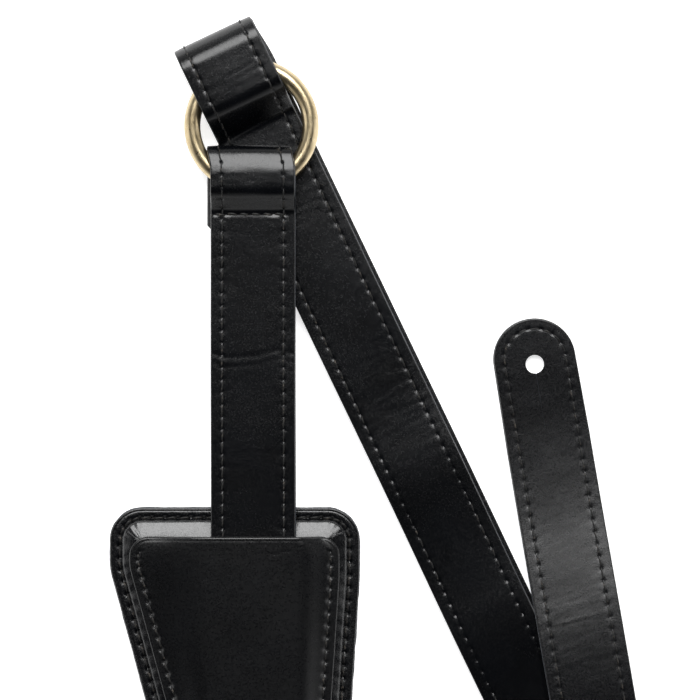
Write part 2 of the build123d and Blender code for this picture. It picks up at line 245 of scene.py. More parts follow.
# ---- Main strap: face and lining ----
# Two layers of 1.3 mm black leather, glued back to back, cut 30 mm wide, turned round the
# ring and under itself, with inked edges. Its front end is rounded and has a button hole.
layer = 1.3
strap_half = 15.0
seam_inset = 4.1
stitch_pitch = 4.4
end_length = 45.0
end_radius = 14.6
hole_to_tip = 16.4
hole_radius = 3.3
slit_length = 20.0
slit_width = 0.35
float_gap = 0.3
touch_gap = 0.1
drape_radius = 60.0

run_level = 3 * layer + 4 * touch_gap
loop_level = run_level + 2 * layer + float_gap
strap_level = loop_level + 2 * layer + touch_gap
over_ring = ring_high[2] + float_gap + layer


class Route:
    """A strap's middle line seen from its side: straight runs joined by round bends."""

    def __init__(self, corners, radii):
        corners = [np.array(corner, float) for corner in corners]
        self.parts, at = [], corners[0]
        for before, corner, after, radius in zip(corners, corners[1:], corners[2:], radii):
            way_in = (corner - before) / np.linalg.norm(corner - before)
            way_out = (after - corner) / np.linalg.norm(after - corner)
            turn = math.atan2(way_in[0] * way_out[1] - way_in[1] * way_out[0], way_in @ way_out)
            reach = radius * math.tan(abs(turn) / 2)
            start = corner - way_in * reach
            self.add_run(at, start)
            left = np.array((-way_in[1], way_in[0])) * math.copysign(1, turn)
            self.parts.append((radius * abs(turn), start + left * radius, -left * radius, turn))
            at = corner + way_out * reach
        self.add_run(at, corners[-1])
        self.ends = np.cumsum([0.0] + [part[0] for part in self.parts])
        self.length = self.ends[-1]

    def add_run(self, start, end):
        self.parts.append((np.linalg.norm(end - start), start, end - start, None))

    def at(self, places):
        """Points and ways at these distances along the line."""
        places = np.clip(np.asarray(places, float), 0, self.length)
        which = np.clip(np.searchsorted(self.ends, places, side="right") - 1, 0, len(self.parts) - 1)
        points, ways = np.zeros((len(places), 2)), np.zeros((len(places), 2))
        for i, (length, origin, arm, turn) in enumerate(self.parts):
            mine = which == i
            share = (places[mine] - self.ends[i]) / max(length, 1e-9)
            if turn is None:
                points[mine] = origin + share[:, None] * arm
                ways[mine] = arm / max(length, 1e-9)
            else:
                angle = share * turn
                spin = np.stack([np.cos(angle), np.sin(angle)], 1)
                points[mine, 0] = origin[0] + arm[0] * spin[:, 0] - arm[1] * spin[:, 1]
                points[mine, 1] = origin[1] + arm[0] * spin[:, 1] + arm[1] * spin[:, 0]
                radial = points[mine] - origin
                radial /= np.linalg.norm(arm)
                ways[mine] = np.stack([-radial[:, 1], radial[:, 0]], 1) * math.copysign(1, turn)
        return points, ways


def smooth_noise(a, b, seed):
    """Soft random waves over two numbers, about one wave to a unit, from -1 to 1."""
    lattice = np.random.default_rng(seed).uniform(-1, 1, (64, 64))
    a, b = np.broadcast_arrays(np.asarray(a, float), np.asarray(b, float))
    i, j = np.floor(a).astype(int), np.floor(b).astype(int)
    u, v = a - i, b - j
    u, v = u * u * (3 - 2 * u), v * v * (3 - 2 * v)
    near = lattice[i % 64, j % 64] * (1 - v) + lattice[i % 64, (j + 1) % 64] * v
    far = lattice[(i + 1) % 64, j % 64] * (1 - v) + lattice[(i + 1) % 64, (j + 1) % 64] * v
    return near * (1 - u) + far * u


def smooth_step(share):
    share = np.clip(share, 0, 1)
    return share * share * (3 - 2 * share)


def edge_drop(depth, radius=0.5):
    """How far a rounded edge has fallen at this depth in from the edge."""
    near = np.clip(1 - np.maximum(depth, 0) / radius, 0, 1)
    return radius * (1 - np.sqrt(np.clip(1 - near * near, 0, 1)))


def sewn_in(offset, along, pitch, hole=0.36):
    """How far a seam draws the leather in, at this distance beside it and along it."""
    phase = (along / pitch + 0.5) % 1.0 - 0.5
    from_hole = np.hypot(phase * pitch, offset)
    return (
        0.22 * hole * np.exp(-((offset / (1.3 * hole)) ** 2))
        + 1.25 * hole * np.exp(-((from_hole / hole) ** 2))
        + 0.03 * np.exp(-((offset / 1.2) ** 2)) * np.cos(2 * math.pi * phase)
    )


def make_piece(name, verts, faces, materials, marks=None):
    """A smooth-shaded object from millimetres; marks picks each face's material."""
    mesh = bpy.data.meshes.new(name)
    mesh.from_pydata((np.asarray(verts) * MM).tolist(), [], faces)
    for material in materials:
        mesh.materials.append(material)
    if marks is not None:
        mesh.polygons.foreach_set("material_index", np.asarray(marks, dtype=np.int32))
    work = bmesh.new()
    work.from_mesh(mesh)
    bmesh.ops.recalc_face_normals(work, faces=work.faces)
    work.to_mesh(mesh)
    work.free()
    mesh.shade_smooth()
    mesh.set_sharp_from_angle(angle=math.radians(50))
    piece = bpy.data.objects.new(name, mesh)
    bpy.context.collection.objects.link(piece)
    return piece


half_columns = np.array((
    0, 2, 4, 6, 7.6, 8.8, 9.7, 10.3, 10.6, 10.9, 11.2, 11.5, 12.1, 12.9, 13.6, 14.1, 14.45, 14.7, 14.87, 15.0,
))
columns = np.concatenate([-half_columns[:0:-1], half_columns])
seam_side = strap_half - seam_inset
corner_clip = 2.5
spokes = 60


def grid_quads(index):
    """The four corners of every cell in a grid of point numbers."""
    return np.stack([index[:-1, :-1], index[:-1, 1:], index[1:, 1:], index[1:, :-1]], -1).reshape(-1, 4)


class Strap:
    """A strap of this length, sewn along both sides and round its rounded ends."""

    def __init__(self, length, round_start):
        self.length, self.round_start = length, round_start
        self.first = end_radius if round_start else 0.0
        self.last = length - end_radius
        self.side = self.last - self.first
        self.arc = math.pi * seam_side
        self.seam = (2 * self.side + self.arc * (2 if round_start else 1))
        self.stitches = round(self.seam / stitch_pitch)
        self.pitch = self.seam / self.stitches

    def half_width(self, s):
        from_tip = self.length - s
        if self.round_start:
            from_tip = np.minimum(from_tip, s)
        slim = (strap_half - end_radius) * np.clip((end_length - from_tip) / (end_length - end_radius), 0, 1)
        clip = 0 if self.round_start else corner_clip * np.clip(1 - s / corner_clip, 0, 1)
        return strap_half - slim - clip

    def seam_at(self, q, offset):
        """Place along and across the strap, at q along the seam and offset outside it."""
        radius = seam_side + offset
        s, x = self.first + q, -radius
        turn = (q - self.side) / seam_side
        second, third, fourth = q > self.side, q > self.side + self.arc, q > 2 * self.side + self.arc
        s = np.where(second, self.last + radius * np.sin(turn), s)
        x = np.where(second, -radius * np.cos(turn), x)
        s = np.where(third, self.last - (q - self.side - self.arc), s)
        x = np.where(third, radius, x)
        turn = (q - 2 * self.side - self.arc) / seam_side
        s = np.where(fourth, self.first - radius * np.sin(turn), s)
        x = np.where(fourth, radius * np.cos(turn), x)
        return s, x

    def grid(self, step):
        """Points along and across, faces, outline, and each point's edge and seam distances."""
        rows = np.linspace(self.first, self.last, int(self.side / step) + 1)
        if not self.round_start:
            rows = np.union1d(rows, (0.15, 0.4, 0.8, 1.3, 1.9, corner_clip))
        half, many, middle = self.half_width(rows), len(columns), len(half_columns) - 1
        s, x = np.repeat(rows, many), np.outer(half / strap_half, columns).ravel()
        edge = np.repeat(half, many) - np.abs(x)
        if not self.round_start:
            edge = np.minimum(edge, s)
        offset = np.abs(x) - seam_side
        along = np.where(x < 0, s - self.first, self.side + self.arc + self.last - s)
        index = np.arange(len(rows) * many).reshape(len(rows), many)
        quads = [grid_quads(index)]
        tris, parts, outlines = [], [(s, x, edge, offset, along)], []
        count = index.size
        reach = half_columns[1:] * end_radius / strap_half
        for tip in ((1, -1) if self.round_start else (1,)):
            row, centre = (index[-1], self.last) if tip > 0 else (index[0], self.first)
            turn = np.pi * np.arange(1, spokes) / spokes
            new = count + np.arange((spokes - 1) * middle).reshape(spokes - 1, middle)
            count += new.size
            fan_s = centre + tip * np.outer(np.sin(turn), reach)
            fan_x = -np.outer(np.cos(turn), reach)
            past = turn[:, None] * seam_side + 0 * reach
            fan_along = self.side + past if tip > 0 else 2 * self.side + 2 * self.arc - past
            depth = np.tile(end_radius - reach, (spokes - 1, 1))
            beside = np.tile(reach, (spokes - 1, 1)) - seam_side
            parts.append(tuple(part.ravel() for part in (fan_s, fan_x, depth, beside, fan_along)))
            spoke = np.vstack([row[middle - 1::-1] if middle else row, new, row[middle + 1:]])
            quads.append(grid_quads(spoke))
            tris.append(np.stack([np.full(spokes, row[middle]), spoke[:-1, 0], spoke[1:, 0]], -1))
            outlines.append(new[:, -1])
        values = [np.concatenate(value) for value in zip(*parts)]
        outline = [index[:, 0], outlines[0], index[::-1, -1]]
        if self.round_start:
            outline.append(outlines[1][::-1])
        return values, np.vstack(quads), np.vstack(tris), outline, index


def strap_layer(name, strap, place, sign, material, step, wrinkles):
    """One leather layer of a strap, face (+1) or lining (-1), as a closed sheet."""
    (s, x, edge, offset, along), quads, tris, outline, index = strap.grid(step)
    crown = 0.22 * (x / strap_half) ** 2
    height = layer - crown - edge_drop(edge) - 0.05 * np.exp(-(((edge - 1.1) / 0.22) ** 2))
    height -= sewn_in(offset, along, strap.pitch)
    height += wrinkles(s, x, sign) + 0.012 * smooth_noise(s / 1.3, x / 1.3, 5)
    outer = place(s, x, sign * height)
    rim = np.concatenate(outline)
    inner = place(s[rim], x[rim], np.full(len(rim), sign * 0.05))
    base, many = len(outer), len(rim)
    under = base + np.arange(many)
    steps = range(many) if strap.round_start else range(many - 1)
    faces = quads.tolist() + tris.tolist()
    marks = [0] * len(faces)
    walls = [(rim[i], rim[(i + 1) % many], under[(i + 1) % many], under[i]) for i in steps]
    faces += [tuple(int(v) for v in wall) for wall in walls]
    marks += [1] * len(walls)
    rows, cap = len(outline[0]), len(outline[1])
    left, right = under[:rows], under[rows + cap : 2 * rows + cap][::-1]
    floor_faces = [
        (int(left[i]), int(left[i + 1]), int(right[i + 1]), int(right[i])) for i in range(rows - 1)
    ]
    floor_faces.append(tuple(int(v) for v in under[rows - 1 : rows + cap + 1]))
    if strap.round_start:
        floor_faces.append(tuple(int(v) for v in [right[0], *under[2 * rows + cap :], left[0]]))
    else:
        floor_faces.append(tuple(int(v) for v in [*index[0], right[0], left[0]]))
    faces += floor_faces
    marks += [1] * len(floor_faces)
    return make_piece(name, np.vstack([outer, inner]), faces, [material, cut_edge], marks)


def sew(name, place, line, length, count, radius, sign=1, level=layer, gap=0.45, lean=0.14, seed=3):
    """A row of stitches along a seam line, each diving into its needle holes."""
    pitch = length / count
    shares = np.array((0.0, 0.08, 0.24, 0.5, 0.76, 0.92, 1.0))
    depths = np.array((-0.9, -0.42, -0.06, 0.05, -0.06, -0.42, -0.9))
    girth = np.array((0.7, 0.9, 1.0, 1.05, 1.0, 0.9, 0.7)) * radius
    random = np.random.default_rng(seed)
    starts = np.arange(count)[:, None] * pitch
    q = starts + gap / 2 + shares * (pitch - gap)
    sway = lean * (2 * shares - 1) + random.normal(0, 0.05, (count, 1)) + random.normal(0, 0.04, q.shape)
    lift = level - 0.06 + depths + random.normal(0, 0.02, (count, 1))

    def spot(extra):
        s, x = line(q.ravel(), sway.ravel())
        return place(s, x, sign * (lift + extra).ravel()).reshape(count, len(shares), 3)

    centre = spot(0.0)
    normal = spot(0.2) - centre
    way = np.gradient(centre, axis=1)
    way /= np.linalg.norm(way, axis=2, keepdims=True)
    side = np.cross(way, normal)
    side /= np.linalg.norm(side, axis=2, keepdims=True)
    normal = np.cross(side, way)
    sides = 7
    turn = 2 * np.pi * np.arange(sides) / sides
    rings = centre[:, :, None, :] + girth[None, :, None, None] * (
        np.cos(turn)[None, None, :, None] * normal[:, :, None, :]
        + np.sin(turn)[None, None, :, None] * side[:, :, None, :]
    )
    index = np.arange(count * len(shares) * sides).reshape(count, len(shares), sides)
    nxt = np.roll(index, -1, axis=2)
    quads = np.stack([index[:, :-1], nxt[:, :-1], nxt[:, 1:], index[:, 1:]], -1).reshape(-1, 4).tolist()
    caps = index[:, 0, ::-1].tolist() + index[:, -1, :].tolist()
    return make_piece(name, rings.reshape(-1, 3), quads + caps, [waxed_thread])


def punch(piece, centre, way, low, high, count=1, pitch=45.0, shift=0.0):
    """Cuts the button holes and their slits, repeated along way, between two levels."""
    work = bmesh.new()
    across = np.array((-way[1], way[0]))
    mouth = math.asin((slit_width / 2 + abs(shift)) / hole_radius)
    for i in range(count):
        middle = centre + way * pitch * i
        turns = np.linspace(mouth, 2 * math.pi - mouth, 48)
        outline = [middle + hole_radius * (way * math.cos(a) + across * math.sin(a)) for a in turns]
        far = middle + way * (hole_radius + slit_length) + across * shift
        near = middle + way * (hole_radius * math.cos(mouth) + 0.2) + across * shift
        half = across * slit_width / 2
        outline += [near - half, far - half * 0.5, far + half * 0.5, near + half]
        rings = [[work.verts.new((p[0] * MM, p[1] * MM, z * MM)) for p in outline] for z in (low, high)]
        many = len(outline)
        for j in range(many):
            work.faces.new((rings[0][j], rings[0][(j + 1) % many], rings[1][(j + 1) % many], rings[1][j]))
        work.faces.new(rings[0][::-1])
        work.faces.new(rings[1])
    bmesh.ops.recalc_face_normals(work, faces=work.faces)
    mesh = bpy.data.meshes.new("punch")
    work.to_mesh(mesh)
    work.free()
    mesh.materials.append(cut_edge)
    tool = bpy.data.objects.new("punch", mesh)
    bpy.context.collection.objects.link(tool)
    cut = piece.modifiers.new("punch", "BOOLEAN")
    cut.operation, cut.solver, cut.object = "DIFFERENCE", "MANIFOLD", tool
    bpy.context.view_layer.update()
    done = bpy.data.meshes.new_from_object(piece.evaluated_get(bpy.context.evaluated_depsgraph_get()))
    piece.modifiers.remove(cut)
    piece.data = done
    bpy.data.objects.remove(tool)


front_tip = -600.0
main_route = Route(
    [
        (-37.8, loop_level),
        (-8.2, loop_level),
        (-8.2, over_ring - 2.3),
        (-14.2, over_ring),
        (-23.4, over_ring),
        (-29.7, strap_level),
        (-451.0, strap_level),
        (-496.0, layer),
        (front_tip, layer),
    ],
    [3.4, 3.6, 20.0, 4.5, 4.0, drape_radius, drape_radius],
)
main_strap = Strap(main_route.length, False)


def main_place(s, x, h):
    """A point on the main strap, h outside its middle line."""
    line, way = main_route.at(s)
    sway = 0.18 * smooth_noise(s / 55.0, 0.5, 11) + 0.22 * (h < 0.04) - 1.25 * smooth_step((42.0 - s) / 8.0)
    return np.stack([x + sway, ring_centre[1] + line[:, 0] + h * way[:, 1], line[:, 1] - h * way[:, 0]], 1)


def along_main(y):
    """Place along the main strap's upper run, from its distance in front of the ring's centre."""
    s = np.linspace(60, main_route.length, 6000)
    line, way = main_route.at(s)
    return float(s[np.argmin(np.abs(line[:, 0] + y))])


loop_tail_end = 37.8
loop_seam_from_ring = 29.7
loop_seam_length = 25.2
loop_seam_left = 13.6
loop_seam_place = along_main(loop_seam_from_ring)
crease_place = along_main(81.0)


def main_wrinkles(s, x, sign):
    """The loop seam's furrow, a soft crease, and the leather's slow rise and fall."""
    sewn = smooth_step((13.0 - np.abs(x + 1.0)) / 0.6)
    loop = sewn_in(s - loop_seam_place, x + loop_seam_left, 4.2, 0.5) * sewn
    bow = crease_place + 1.5 * smooth_noise(x / 9.0, 0.3, 21)
    crease = 0.10 * np.exp(-(((s - bow) / 0.9) ** 2)) + 0.05 * np.exp(-(((s - bow - 3.2) / 0.8) ** 2))
    slow = 0.09 * smooth_noise(s / 21.0, x / 13.0, 22) + 0.03 * smooth_noise(s / 5.0, x / 7.0, 23)
    fold = 0.035 * smooth_noise(s / 0.9, x / 6.0, 24) * np.exp(-(((s - 48.0) / 9.0) ** 2))
    return slow - crease - loop + fold


main_face = strap_layer("main_face", main_strap, main_place, 1, strap_leather, 0.55, main_wrinkles)
main_lining = strap_layer("main_lining", main_strap, main_place, -1, lining_leather, 1.1, main_wrinkles)
front_hole = np.array((0.0, ring_centre[1] + front_tip + hole_to_tip))
for piece, node, slot in (
    (main_face, "main_strap_face", "face_leather"),
    (main_lining, "main_strap_lining", "lining_leather"),
):
    punch(piece, front_hole, np.array((0.0, 1.0)), -1.0, 5.0, shift=0.2 if slot == "face_leather" else -0.2)
    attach(piece, "main_strap")
    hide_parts(node)

# ---- Main strap: threads ----
# Waxed thread sewn by machine: a needle thread on the face and a bobbin thread on the lining,
# meeting in every hole. A heavier row across the strap closes the ring's loop.
thread_radius = 0.29
for sign, node in ((1, "main_strap_needle_thread"), (-1, "main_strap_bobbin_thread")):
    row = sew(node.replace("strap_", ""), main_place, main_strap.seam_at, main_strap.seam,
              main_strap.stitches, thread_radius, sign)
    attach(row, "main_strap")
    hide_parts(node)


def loop_line(q, offset):
    return loop_seam_place + offset, q - loop_seam_left


def loop_line_below(q, offset):
    return loop_tail_end - loop_seam_from_ring + offset, q - 12.4


loop_top = sew(
    "loop_needle_thread", main_place, loop_line, loop_seam_length, 6, 0.42, gap=0.8, lean=0.3
)
loop_low_row = sew(
    "loop_bobbin_thread", main_place, loop_line_below, loop_seam_length, 6, 0.36, gap=0.8
)
for row, node in ((loop_top, "loop_seam_needle_thread"), (loop_low_row, "loop_seam_bobbin_thread")):
    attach(row, "main_strap")
    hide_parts(node)

# ---- Adjusting strap: face and lining ----
# A second strap of the same two layers, hung doubled in the ring. Its lower half lies under
# the upper one; below, the upper half folds back on itself and runs up again as the tail.
run_lean = math.radians(25.55)
tail_lean = math.radians(9.56)
run_way = np.array((-math.sin(run_lean), math.cos(run_lean)))
run_across = np.array((math.cos(run_lean), math.sin(run_lean)))
tail_way = np.array((-math.sin(tail_lean), math.cos(tail_lean)))
tail_across = np.array((math.cos(tail_lean), math.sin(tail_lean)))
run_start = ring_centre[:2] + 1.45 * run_across
run_reach = 305.5
fold_point = run_start - run_way * run_reach
fold_skew = math.tan((run_lean - tail_lean) / 2)
fold_radius = 3.299
fold_middle = run_level + fold_radius
tail_level = run_level + 2 * fold_radius
lower_tip = -run_reach - 15.0
tail_length = 209.4

run_route = Route(
    [
        (lower_tip, layer),
        (34.6, layer),
        (34.6, over_ring),
        (9.6, over_ring),
        (0.2, run_level),
        (layer - run_reach, run_level),
        (layer - run_reach, fold_middle),
    ],
    [(over_ring - layer) / 2 - 0.001, (over_ring - layer) / 2 - 0.001, 5.0, 5.0, fold_radius - 0.001],
)
tail_route = Route(
    [
        (layer, fold_middle),
        (layer, tail_level),
        (26.0, tail_level + 0.5),
        (84.0, tail_level + 0.5),
        (154.0, layer),
        (tail_length, layer),
    ],
    [fold_radius - 0.001, drape_radius, 340.0, 330.0],
)
adjusting_strap = Strap(run_route.length + tail_route.length, True)
upper_half = float(run_route.ends[4])


def adjusting_place(s, x, h):
    """A point on the adjusting strap, h outside its middle line."""
    on_tail = s > run_route.length
    sway = 0.22 * smooth_noise(s / 60.0, 0.5, 31) + 0.25 * (h < 0.04)
    run_line, run_dir = run_route.at(s)
    sway = sway + 1.3 * smooth_step((run_route.ends[1] + 8.0 - s) / 16.0)
    tail_line, tail_dir = tail_route.at(s - run_route.length)
    high = s > upper_half
    run_shift = -fold_skew * smooth_step((-250.0 - run_line[:, 0]) / 40.0) * high
    tail_shift = fold_skew * smooth_step((190.0 - tail_line[:, 0]) / 30.0)
    out = np.zeros((len(s), 3))
    for mine, start, way, across, line, course, shift in (
        (~on_tail, run_start, run_way, run_across, run_line, run_dir, run_shift),
        (on_tail, fold_point, tail_way, tail_across, tail_line, tail_dir, tail_shift),
    ):
        reach = line[:, 0] + h * course[:, 1] + x * shift
        out[mine, :2] = (start + across * (x + sway)[:, None] + way * reach[:, None])[mine]
        out[mine, 2] = (line[:, 1] - h * course[:, 0])[mine]
    return out


def adjusting_wrinkles(s, x, sign):
    """Slow rise and fall, and fine cross wrinkles where the strap has been bent."""
    slow = 0.09 * smooth_noise(s / 24.0, x / 14.0, 32) + 0.03 * smooth_noise(s / 6.0, x / 8.0, 33)
    fine = 0.0
    for middle, reach, side, seed in (
        (upper_half + 145.0, 17.0, 3.0, 34),
        (upper_half + 60.0, 10.0, -2.0, 35),
        (run_route.length + 88.0, 9.0, 2.0, 36),
        (run_route.length + 104.0, 7.0, 0.0, 37),
        (upper_half + 8.0, 5.0, 0.0, 38),
    ):
        here = np.exp(-(((s - middle) / reach) ** 2) - ((x - side) / 11.0) ** 2)
        fine = fine + 0.045 * here * smooth_noise(s / 0.95 + 0.06 * x, x / 7.0, seed)
    swell = 0.9 * np.exp(-(((s - upper_half - 168.0) / 17.0) ** 2))
    swell = swell + 1.1 * np.exp(-(((s - upper_half - 232.0) / 19.0) ** 2))
    return slow + fine + swell * sign


adjusting_face = strap_layer(
    "adjusting_face", adjusting_strap, adjusting_place, 1, strap_leather, 0.62, adjusting_wrinkles
)
adjusting_lining = strap_layer(
    "adjusting_lining", adjusting_strap, adjusting_place, -1, tail_leather, 0.62, adjusting_wrinkles
)
lower_hole = run_start + run_way * (lower_tip + hole_to_tip)
tail_hole = fold_point + tail_way * (tail_length - hole_to_tip)
for piece, node, slot in (
    (adjusting_face, "adjusting_strap_face", "face_leather"),
    (adjusting_lining, "adjusting_strap_lining", "lining_leather"),
):
    punch(piece, lower_hole, run_way, -1.0, 2.85, count=4)
    punch(piece, tail_hole, -tail_way, -1.0, 5.0, shift=0.2 if slot == "face_leather" else -0.2)
    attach(piece, "adjusting_strap")
    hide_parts(node)

# ---- Adjusting strap: threads ----
# The same machine-sewn pair of threads, all the way round the strap's edge.
for sign, node in ((1, "adjusting_strap_needle_thread"), (-1, "adjusting_strap_bobbin_thread")):
    row = sew(node.replace("strap_", ""), adjusting_place, adjusting_strap.seam_at, adjusting_strap.seam,
              adjusting_strap.stitches, thread_radius, sign, seed=7)
    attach(row, "adjusting_strap")
    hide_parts(node)

# ---- Shoulder pad: base, foam and crowned top ----
# A shaped sole of thick leather under a sheet of firm foam; a softer top leather is pulled
# over the foam, crowned, and sewn to the sole all round its edge.
pad_half = 120.0
pad_seam = 3.5


def pad_outline(trim, corner):
    """The pad's outline, walked with its inside to the left."""
    corners = [
        (0, trim - pad_half),
        (34.6, trim - pad_half),
        (34.6, 46.0),
        (37.8, 95.0),
        (37.8, pad_half - trim),
        (-51.1, pad_half - trim),
        (-51.1, 98.6),
        (-31.0, 24.6),
        (-31.0, trim - pad_half),
        (0, trim - pad_half),
    ]
    return Route(corners, [corner, 170.0, 25.0, corner, corner, 25.0, 170.0, corner])


pad_line = pad_outline(0.0, 11.5)
pad_stitches = round((pad_line.length - 30) / stitch_pitch)
pad_pitch = pad_line.length / pad_stitches


def pad_point(q, inset):
    """A point of the pad, inset from its edge at q along the outline."""
    line, way = pad_line.at(q % pad_line.length)
    return line - np.stack([way[:, 1], -way[:, 0]], 1) * np.asarray(inset)[..., None]


def ring_piece(name, levels, materials, step=0.55, marks_from=None):
    """A closed piece of rings round the pad: levels lists each ring's inset and height."""
    many = int(pad_line.length / step)
    q = np.arange(many) * pad_line.length / many
    rings = []
    for inset, height in levels:
        inset = inset(q) if callable(inset) else np.full(many, inset)
        spots = pad_point(q, inset)
        high = height(q, spots) if callable(height) else np.full(many, height)
        rings.append(np.column_stack([spots, high]))
    index = np.arange(len(rings) * many).reshape(len(rings), many)
    nxt = np.roll(index, -1, axis=1)
    quads = np.stack([index[:-1], nxt[:-1], nxt[1:], index[1:]], -1).reshape(-1, 4).tolist()
    faces = quads + [index[0].tolist(), index[-1].tolist()]
    marks = None
    if marks_from is not None:
        low, high = marks_from
        marks = [int(low <= i // many < high) for i in range(len(quads))] + [0, 0]
    return make_piece(name, np.vstack(rings), faces, materials, marks)


def fuzzy(q):
    """The sole's rough cut edge stands a little proud of the top leather."""
    return -0.28 - 0.14 * smooth_noise(q / 4.0, 0.5, 41) - 0.07 * smooth_noise(q / 0.9, 0.5, 42)


def sole_low(inset):
    return lambda q, spots: 0.02 + sewn_in(inset - pad_seam, q, pad_pitch) * 0.8 + edge_drop(inset + 0.3, 0.4)


base_rings = [(11.0, 0.02), (8.0, 0.02)]
base_rings += [(inset, sole_low(inset)) for inset in (5.0, 4.4, 4.0, 3.7, 3.5, 3.3, 3.0, 2.4, 1.4, 0.5, 0.1)]
base_rings += [(fuzzy, 0.35), (fuzzy, 1.2), (lambda q: fuzzy(q) * 0.8, 1.85)]
base_rings += [(0.3, 1.98), (5.0, 1.99), (10.9, 1.99)]
pad_sole = ring_piece("pad_sole", base_rings, [lining_leather, cut_edge], marks_from=(12, 16))
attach(pad_sole, "pad")
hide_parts("pad_base")


def top_height(inset):
    """The top leather: a flat flange, a tight rise beside the seam, then a soft crown."""

    def height(q, spots):
        past = min(max(inset - 4.4, 0.0), 6.6)
        rise = 1.9 * smooth_step((inset - 3.8) / 0.9) + 0.42 * past - 0.018 * past * past
        puff = smooth_step((inset - 4.0) / 1.0)
        z = 3.5 + rise - edge_drop(inset, 0.5)
        z = z - 0.12 * math.exp(-(((inset - 0.95) / 0.25) ** 2))
        z = z - sewn_in(inset - pad_seam, q, pad_pitch, 0.62) * 1.2
        beside_seam = math.exp(-(((inset - 5.3) / 1.2) ** 2))
        z = z - 0.06 * puff * np.cos(2 * math.pi * q / pad_pitch) * beside_seam
        rolling = 0.22 * smooth_noise(q / 17.0, inset / 9.0, 43)
        rolling = rolling + 0.09 * smooth_noise(q / 4.0, inset / 6.0, 44)
        z = z + puff * rolling
        corner = np.exp(-(((spots[:, 0] + 40.0) / 9.0) ** 2) - ((spots[:, 1] - 108.0) / 9.0) ** 2)
        z = z + 0.07 * corner * smooth_noise(q / 0.9, inset / 5.0, 45)
        return z + 0.015 * smooth_noise(q / 1.1, inset / 1.1, 46)

    return height


top_rings = [(11.0, 6.0), (8.7, 5.6), (7.1, 4.2), (7.02, 2.03), (0.3, 2.03), (0.02, 2.3), (0.0, 2.85)]
top_insets = [
    0.03, 0.12, 0.28, 0.5, 0.75, 0.95, 1.15, 1.5, 2.0, 2.5, 2.85, 3.1, 3.3, 3.5, 3.7, 3.9, 4.15, 4.45,
    4.8, 5.2, 5.6, 6.0, 6.5, 7.0, 7.6, 8.3, 9.0, 9.8, 10.5, 11.1,
]
top_rings += [(inset, top_height(inset)) for inset in top_insets]
pad_crown = ring_piece("pad_crown", top_rings, [pad_leather, cut_edge], marks_from=(4, 7))
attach(pad_crown, "pad")
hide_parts("pad_top")

foam_sheet, tree, shader = new_material("firm_foam")
cells = noise_of(tree, 1400.0, kind="ShaderNodeTexVoronoi")
tree.links.new(ramp_of(tree, cells.outputs["Distance"], (0.16, 0.15, 0.13, 1), (0.3, 0.28, 0.25, 1)),
               shader.inputs["Base Color"])
tree.links.new(bump_of(tree, cells.outputs["Distance"], 0.0003, 0.8), shader.inputs["Normal"])
shader.inputs["Roughness"].default_value = 0.9


def foam_height(level):
    return lambda q, spots: level + 0.02 * smooth_noise(q / 0.9, level, 47)


foam_rings = [(10.9, 2.02), (7.4, 2.02), (7.15, foam_height(2.3)), (7.15, foam_height(3.9)),
              (7.8, foam_height(4.6)), (8.8, foam_height(5.3)), (10.9, 5.9)]
pad_foam = ring_piece("pad_foam", foam_rings, [foam_sheet], step=1.2)
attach(pad_foam, "pad")
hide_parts("pad_padding")


def pad_place(s, x, h):
    """For the pad's seams: s along the outline, x the inset, h the height."""
    return np.column_stack([pad_point(s, x), h])


def pad_seam_line(q, offset):
    return q, pad_seam + offset


edge_top = sew("pad_edge_needle_thread", pad_place, pad_seam_line, pad_line.length, pad_stitches, 0.42,
               level=3.3, gap=0.9, lean=0.2)


def pad_place_below(s, x, h):
    return np.column_stack([pad_point(s, x), 0.32 - (h - 0.2)])


edge_low = sew("pad_edge_bobbin_thread", pad_place_below, pad_seam_line, pad_line.length, pad_stitches, 0.22,
               level=0.2, gap=0.6)
for row, node in ((edge_top, "pad_edge_needle_thread"), (edge_low, "pad_edge_bobbin_thread")):
    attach(row, "pad")
    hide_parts(node)

# ---- Tunnel cover ----
# A flat, matt leather panel with round corners and a rolled edge, arched over the strap and
# sewn to the pad's top along both sides; its ends stay open so that the pad slides.
cover_trim, cover_inset, cover_corner_radius = 3.0, 7.0, 14.0
cover_seam_inset = 3.3
cover_line = pad_outline(cover_trim, cover_corner_radius)
cover_many = int(cover_line.length / 0.35)
cover_q = np.arange(cover_many) * cover_line.length / cover_many
cover_spot, cover_way = cover_line.at(cover_q)
cover_edge = cover_spot - np.stack([cover_way[:, 1], -cover_way[:, 0]], 1) * cover_inset
cover_top_y, cover_low_y = cover_edge[:, 1].max(), cover_edge[:, 1].min()
leaning = np.abs(cover_way[:, 1]) > 1e-4
arch_rise = 3.75


def side_of_cover(y, side):
    mine = leaning & (cover_edge[:, 0] * side > 0)
    order = np.argsort(cover_edge[mine, 1])
    return np.interp(y, cover_edge[mine, 1][order], cover_edge[mine, 0][order])


def cover_height(x, y, lift):
    """The cover's upper side before its edges and seams are worked in."""
    seam = np.abs(side_of_cover(y, -1) * (x < 0) + side_of_cover(y, 1) * (x >= 0)) - 1.0
    return 7.8 + lift + arch_rise * smooth_step((seam - np.abs(x)) / (seam - 15.2))


